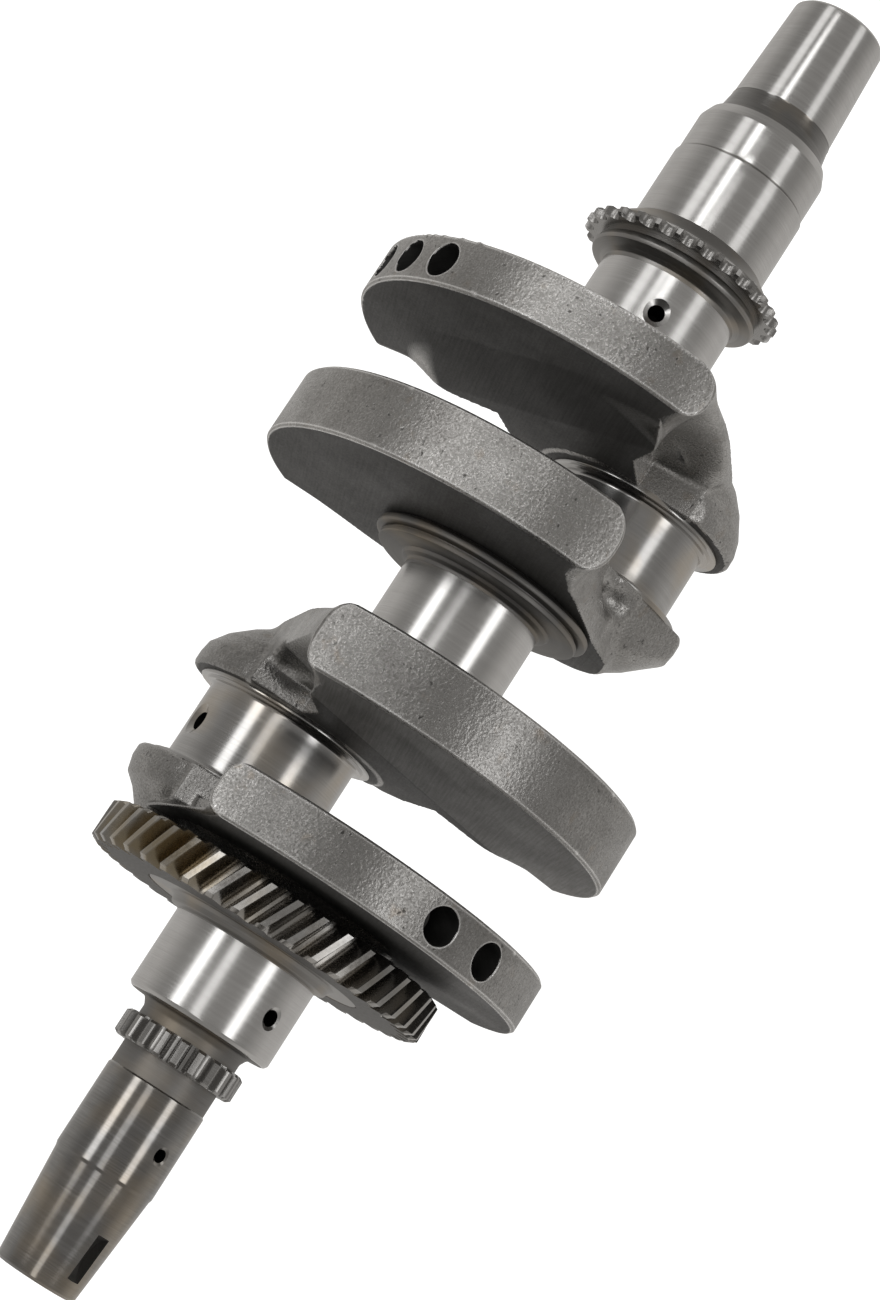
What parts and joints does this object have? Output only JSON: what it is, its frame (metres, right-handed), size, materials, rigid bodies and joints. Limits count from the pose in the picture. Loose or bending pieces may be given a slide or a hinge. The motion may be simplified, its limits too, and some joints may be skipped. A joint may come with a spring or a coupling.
{
  "type": "crankshaft",
  "caption": "Forged crankshaft for a parallel-twin engine, with counterweighted webs, offset crankpins, ground journals, a helical drive gear, a chain sprocket and tapered ends.",
  "frame": {"origin": "on the crank axis, in the middle of the centre main journal", "axes": "+X along the crank axis from the flywheel end to the clutch end, +Z away from both crankpins, +Y towards the side of the first crankpin"},
  "size_m": [0.44, 0.1531, 0.1365],
  "materials": {
    "ground_steel": "ground and polished journal surface",
    "turned_steel": "fine turned surface with faint tool rings",
    "gear_steel": "hobbed and hardened teeth with a faint straw tint",
    "forged_steel": "shot-blasted forging skin with fine pits"
  },
  "bodies": {
    "root": {"flywheel_taper": "ground_steel", "flywheel_seat": "ground_steel", "main_journal_1": "ground_steel", "crankpin_1": "ground_steel", "main_journal_2": "ground_steel", "crankpin_2": "ground_steel", "main_journal_3": "ground_steel", "seal_journal": "ground_steel", "clutch_shoulder": "ground_steel", "clutch_taper": "ground_steel", "pump_gear_neck": "turned_steel", "main_journal_1_neck": "turned_steel", "drive_gear_seat": "turned_steel", "centre_collar_a": "turned_steel", "centre_collar_b": "turned_steel", "sprocket_collar": "turned_steel", "seal_cone": "turned_steel", "clutch_neck": "turned_steel", "oil_pump_drive_gear": "gear_steel", "balancer_drive_gear": "gear_steel", "cam_chain_sprocket": "gear_steel", "web_1": "forged_steel", "web_2": "forged_steel", "web_3": "forged_steel", "web_4": "forged_steel"}
  },
  "joints": []
}
